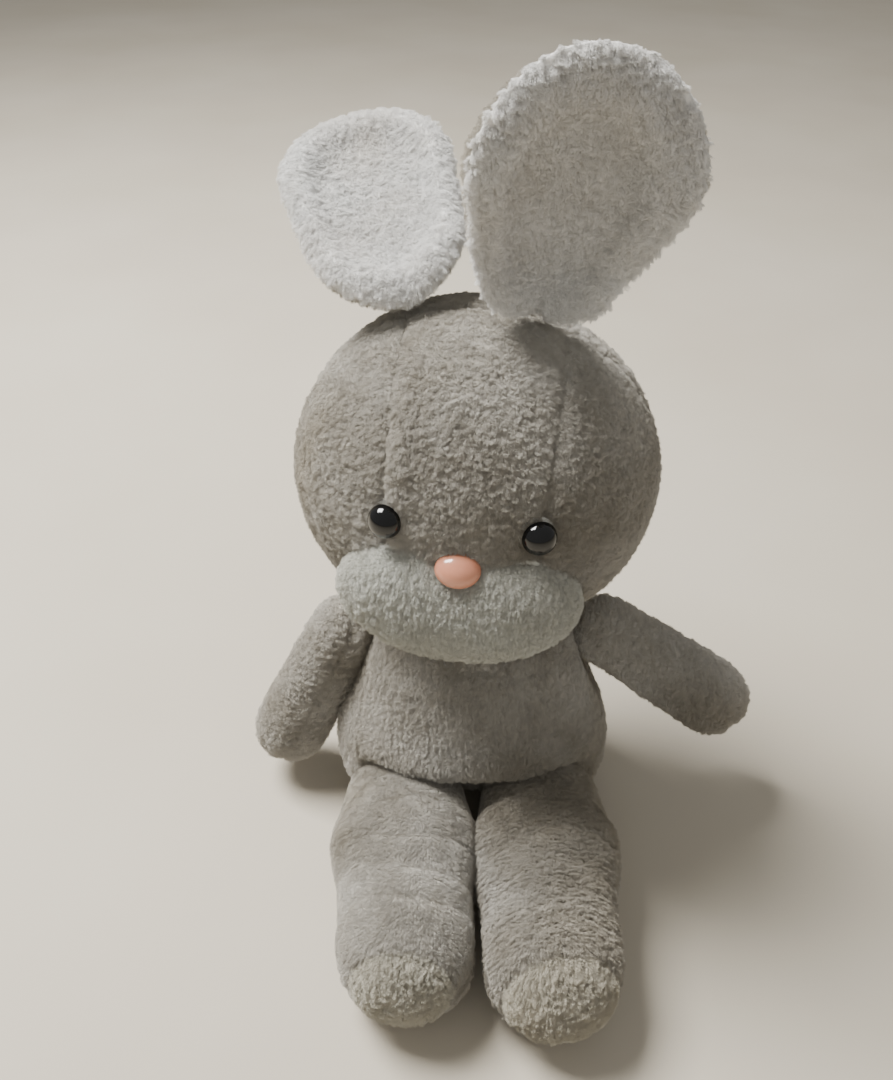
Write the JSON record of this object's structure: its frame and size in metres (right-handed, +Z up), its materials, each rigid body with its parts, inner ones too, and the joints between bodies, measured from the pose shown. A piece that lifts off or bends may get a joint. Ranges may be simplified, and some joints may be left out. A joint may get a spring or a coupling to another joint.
{
  "type": "plush rabbit toy",
  "caption": "Seated soft toy rabbit with upright cupped ears, round head, padded muzzle, plastic eyes and nose, and stuffed limbs that bend at sewn joints.",
  "frame": {"origin": "on the floor plane, on the flat seat panel in the rabbit's middle plane", "axes": "+Z up, -Y the way the rabbit faces, +X the rabbit's own left"},
  "size_m": [0.2905, 0.3123, 0.4249],
  "materials": {
    "grey_plush": "short dense pile, warm light grey",
    "white_plush": "short pile, off-white",
    "cream_plush": "short pile, cream",
    "fibre_filling": "loose polyester fibre",
    "eye_plastic": "polished black",
    "nose_plastic": "polished pink",
    "washer_plastic": "natural moulded",
    "thread": "twisted sewing thread"
  },
  "bodies": {
    "torso": {"torso_front_panel": "grey_plush", "torso_left_back_panel": "grey_plush", "torso_right_back_panel": "grey_plush", "seat_panel": "grey_plush", "torso_stuffing": "fibre_filling", "closing_stitches": "thread", "tail_cover": "white_plush", "tail_stuffing": "fibre_filling"},
    "neck": {"neck_stuffing": "fibre_filling"},
    "head": {"head_forehead_panel": "grey_plush", "head_left_cheek_panel": "grey_plush", "head_right_cheek_panel": "grey_plush", "head_left_back_panel": "grey_plush", "head_right_back_panel": "grey_plush", "head_stuffing": "fibre_filling", "muzzle_cover": "white_plush", "muzzle_stuffing": "fibre_filling", "nose": "nose_plastic", "nose_washer": "washer_plastic", "left_eye": "eye_plastic", "right_eye": "eye_plastic", "left_eye_washer": "washer_plastic", "right_eye_washer": "washer_plastic"},
    "left_ear": {"left_ear_lining": "white_plush", "left_ear_back": "grey_plush", "left_ear_padding": "fibre_filling"},
    "left_shoulder": {"left_shoulder_stuffing": "fibre_filling"},
    "left_arm": {"left_arm_outer_panel": "grey_plush", "left_arm_inner_panel": "grey_plush", "left_arm_stuffing": "fibre_filling"},
    "left_leg": {"left_leg_upper_panel": "grey_plush", "left_leg_under_panel": "grey_plush", "left_toe_cap": "cream_plush", "left_leg_stuffing": "fibre_filling"},
    "right_ear": {"right_ear_lining": "white_plush", "right_ear_back": "grey_plush", "right_ear_padding": "fibre_filling"},
    "right_shoulder": {"right_shoulder_stuffing": "fibre_filling"},
    "right_arm": {"right_arm_outer_panel": "grey_plush", "right_arm_inner_panel": "grey_plush", "right_arm_stuffing": "fibre_filling"},
    "right_leg": {"right_leg_upper_panel": "grey_plush", "right_leg_under_panel": "grey_plush", "right_toe_cap": "cream_plush", "right_leg_stuffing": "fibre_filling"}
  },
  "joints": [
    {"name": "head_turn", "type": "hinge", "parent": "torso", "child": "neck", "pos_m": [0, -0.008, 0.14], "axis": [0, 0, 1], "range_deg": [-33, 47], "stiffness_Nm_per_rad": 0.4},
    {"name": "head_nod", "type": "hinge", "parent": "neck", "child": "head", "pos_m": [0, -0.008, 0.14], "axis": [0.9925, -0.1219, 0], "range_deg": [-15, 15], "stiffness_Nm_per_rad": 1.2},
    {"name": "left_ear_bend", "type": "hinge", "parent": "head", "child": "left_ear", "pos_m": [0.024, -0.008, 0.308], "axis": [0.9877, 0, -0.1564], "range_deg": [-95, 35], "stiffness_Nm_per_rad": 0.3},
    {"name": "right_ear_bend", "type": "hinge", "parent": "head", "child": "right_ear", "pos_m": [-0.033, -0.008, 0.307], "axis": [0.9633, 0.1698, 0.2079], "range_deg": [-6, 76], "stiffness_Nm_per_rad": 0.3},
    {"name": "left_arm_swing", "type": "hinge", "parent": "torso", "child": "left_shoulder", "pos_m": [0.073, -0.014, 0.116], "axis": [-1, 0, 0], "range_deg": [-40, 70], "stiffness_Nm_per_rad": 0.3},
    {"name": "left_arm_raise", "type": "hinge", "parent": "left_shoulder", "child": "left_arm", "pos_m": [0.073, -0.014, 0.116], "axis": [0, -1, 0], "range_deg": [-31, 80], "stiffness_Nm_per_rad": 0.3},
    {"name": "right_arm_swing", "type": "hinge", "parent": "torso", "child": "right_shoulder", "pos_m": [-0.073, -0.014, 0.116], "axis": [-1, 0, 0], "range_deg": [-40, 70], "stiffness_Nm_per_rad": 0.3},
    {"name": "right_arm_raise", "type": "hinge", "parent": "right_shoulder", "child": "right_arm", "pos_m": [-0.073, -0.014, 0.116], "axis": [0, 1, 0], "range_deg": [0, 111], "stiffness_Nm_per_rad": 0.3},
    {"name": "left_hip", "type": "hinge", "parent": "torso", "child": "left_leg", "pos_m": [0.0375, -0.066, 0.032], "axis": [-1, 0, 0], "range_deg": [-88, 10], "stiffness_Nm_per_rad": 0.3},
    {"name": "right_hip", "type": "hinge", "parent": "torso", "child": "right_leg", "pos_m": [-0.0375, -0.062, 0.032], "axis": [-1, 0, 0], "range_deg": [-88, 10], "stiffness_Nm_per_rad": 0.3}
  ]
}
